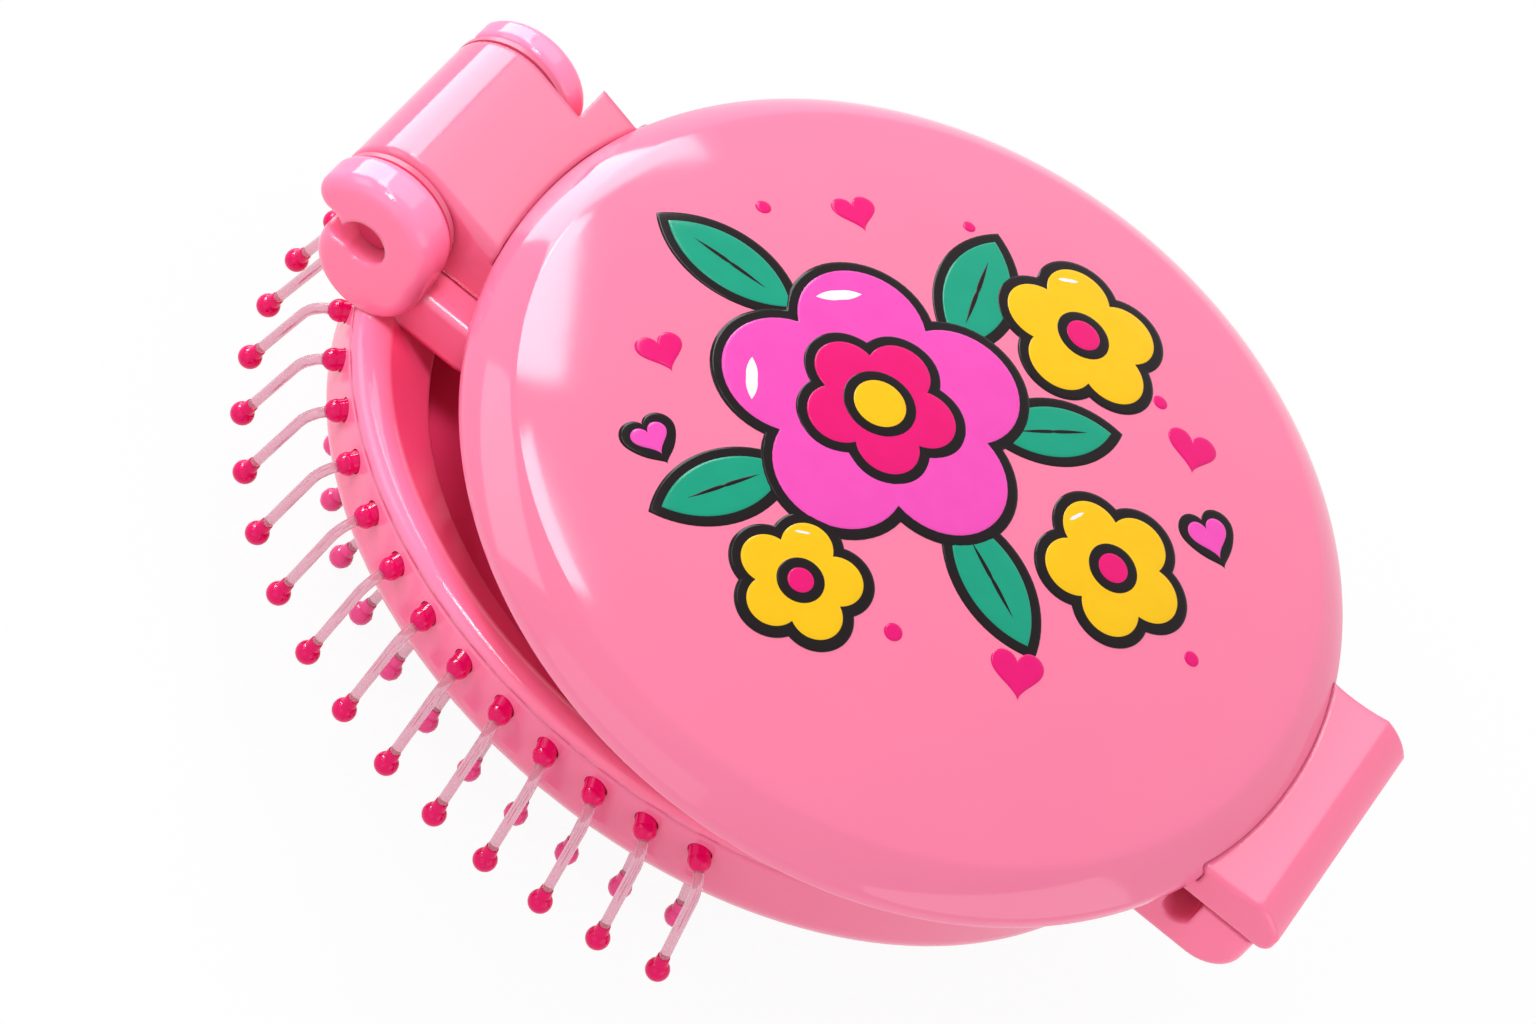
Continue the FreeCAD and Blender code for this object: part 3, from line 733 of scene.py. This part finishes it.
def finish_nodes():
    """Finishes of the pieces that keep their own shape."""
    finishes = {"lid_frame": frame_abs, "brush_frame": frame_abs, "mirror_bezel": frame_abs,
                "bristle_bowl": bowl_plastic, "mirror": mirror_glass, "mirror_tape": foam_tape,
                "hinge_pin": acetal_pin, "hinge_washers": acetal_washer}
    for name, material in finishes.items():
        data = nodes[name].data
        data.materials.clear()
        data.materials.append(material)


def behind_rays(tree):
    """One for rays that look at the background straight, in a reflection or through a clear piece."""
    path = add(tree, "ShaderNodeLightPath").outputs
    seen = path["Is Camera Ray"]
    for kind in ("Is Glossy Ray", "Is Transmission Ray"):
        seen = add(tree, "ShaderNodeMath", {0: seen, 1: path[kind]}, operation="MAXIMUM").outputs[0]
    return seen


def floor():
    """A white floor that keeps a faint shadow."""
    mesh = bmesh.new()
    bmesh.ops.create_grid(mesh, x_segments=floor_cells, y_segments=floor_cells, size=floor_reach)
    material = new_material("white_studio_floor")
    tree = material.node_tree
    paint = add(tree, "ShaderNodeBsdfDiffuse", {"Color": linear("#f4f2f3")})
    glow = add(tree, "ShaderNodeEmission", {"Color": linear("#ffffff"), "Strength": 1.0})
    seen = add(tree, "ShaderNodeMath", {0: behind_rays(tree), 1: floor_glow}, operation="MULTIPLY")
    mixed = add(tree, "ShaderNodeMixShader",
                {"Fac": seen.outputs[0], 1: paint.outputs[0], 2: glow.outputs[0]})
    add(tree, "ShaderNodeOutputMaterial", {"Surface": mixed.outputs[0]})
    mesh_object("studio_floor", mesh, [material])


def world():
    """White light from all round, at full strength only where the background is seen."""
    made = bpy.data.worlds.new("white_studio")
    made.use_nodes = True
    tree = made.node_tree
    tree.nodes.clear()
    strength = add(tree, "ShaderNodeMapRange",
                   {"Value": behind_rays(tree), "To Min": room_light, "To Max": 1.0})
    light = add(tree, "ShaderNodeBackground",
                {"Color": linear("#ffffff"), "Strength": strength.outputs[0]})
    add(tree, "ShaderNodeOutputWorld", {"Surface": light.outputs[0]})
    bpy.context.scene.world = made


def softbox(name, start, end, width, radiance):
    """A rectangular lamp between the middles of two opposite edges, turned to the lid."""
    start, end = Vector(start), Vector(end)
    middle = (start + end) / 2
    along = (end - start).normalized()
    across = along.cross(middle - Vector((0, 0, lid_edge))).normalized()
    data = bpy.data.lights.new(name, "AREA")
    data.shape = "RECTANGLE"
    data.size = width * mm
    data.size_y = (end - start).length * mm
    data.energy = radiance * pi * data.size * data.size_y
    made = bpy.data.objects.new(name, data)
    turn = Matrix((across, along, across.cross(along))).transposed().to_4x4()
    made.matrix_world = Matrix.Translation(middle * mm) @ turn
    bpy.context.scene.collection.objects.link(made)
    return made


def only_on(lamp, pieces, gloss):
    """Flag a lamp off every piece but these, and for gloss let it show in their reflections alone."""
    lit = bpy.data.collections.new(f"{lamp.name}_pieces")
    for piece in pieces:
        lit.objects.link(piece)
    lamp.light_linking.receiver_collection = lit
    lamp.visible_diffuse = not gloss


def lamps(beads):
    """The lamps of the room, and those for the tray, the frames and the beads alone."""
    for lamp in room_lamps:
        softbox(*lamp)
    tray = [nodes["brush_frame"], nodes["bristle_bowl"]]
    frames = [nodes["brush_frame"], nodes["lid_frame"]]
    narrow_lamps = [(tray_lamp, tray, False), (tab_lamp, frames, True), (bead_lamp, beads, True)]
    for lamp, pieces, gloss in narrow_lamps:
        only_on(softbox(*lamp), pieces, gloss)


def camera():
    """The camera, placed so that the lid's middle falls on its pixel."""
    azimuth, elevation, roll = (radians(angle) for angle in (view_azimuth, view_elevation, view_roll))
    level = Vector((cos(azimuth), sin(azimuth), 0))
    forward = Vector((-sin(azimuth) * cos(elevation), cos(azimuth) * cos(elevation), -sin(elevation)))
    upright = level.cross(forward)
    right = level * cos(roll) + upright * sin(roll)
    up = upright * cos(roll) - level * sin(roll)
    distance = focal_pixels / pixels_per_mm
    aside = (lid_middle_pixel[0] - image_width / 2) / pixels_per_mm
    above = (image_height / 2 - lid_middle_pixel[1]) / pixels_per_mm
    place = Vector((0, 0, lid_edge)) - forward * distance - right * aside - up * above
    data = bpy.data.cameras.new("photo_view")
    data.sensor_width = sensor_width
    data.lens = focal_pixels / image_width * sensor_width
    made = bpy.data.objects.new("photo_view", data)
    turn = Matrix((right, up, -forward)).transposed().to_4x4()
    made.matrix_world = Matrix.Translation(place * mm) @ turn
    bpy.context.scene.collection.objects.link(made)
    bpy.context.scene.camera = made


lid_cover()
lid_print()
beads = bristles()
finish_nodes()
floor()
world()
lamps(beads)
camera()
bpy.context.scene.view_settings.view_transform = "Standard"
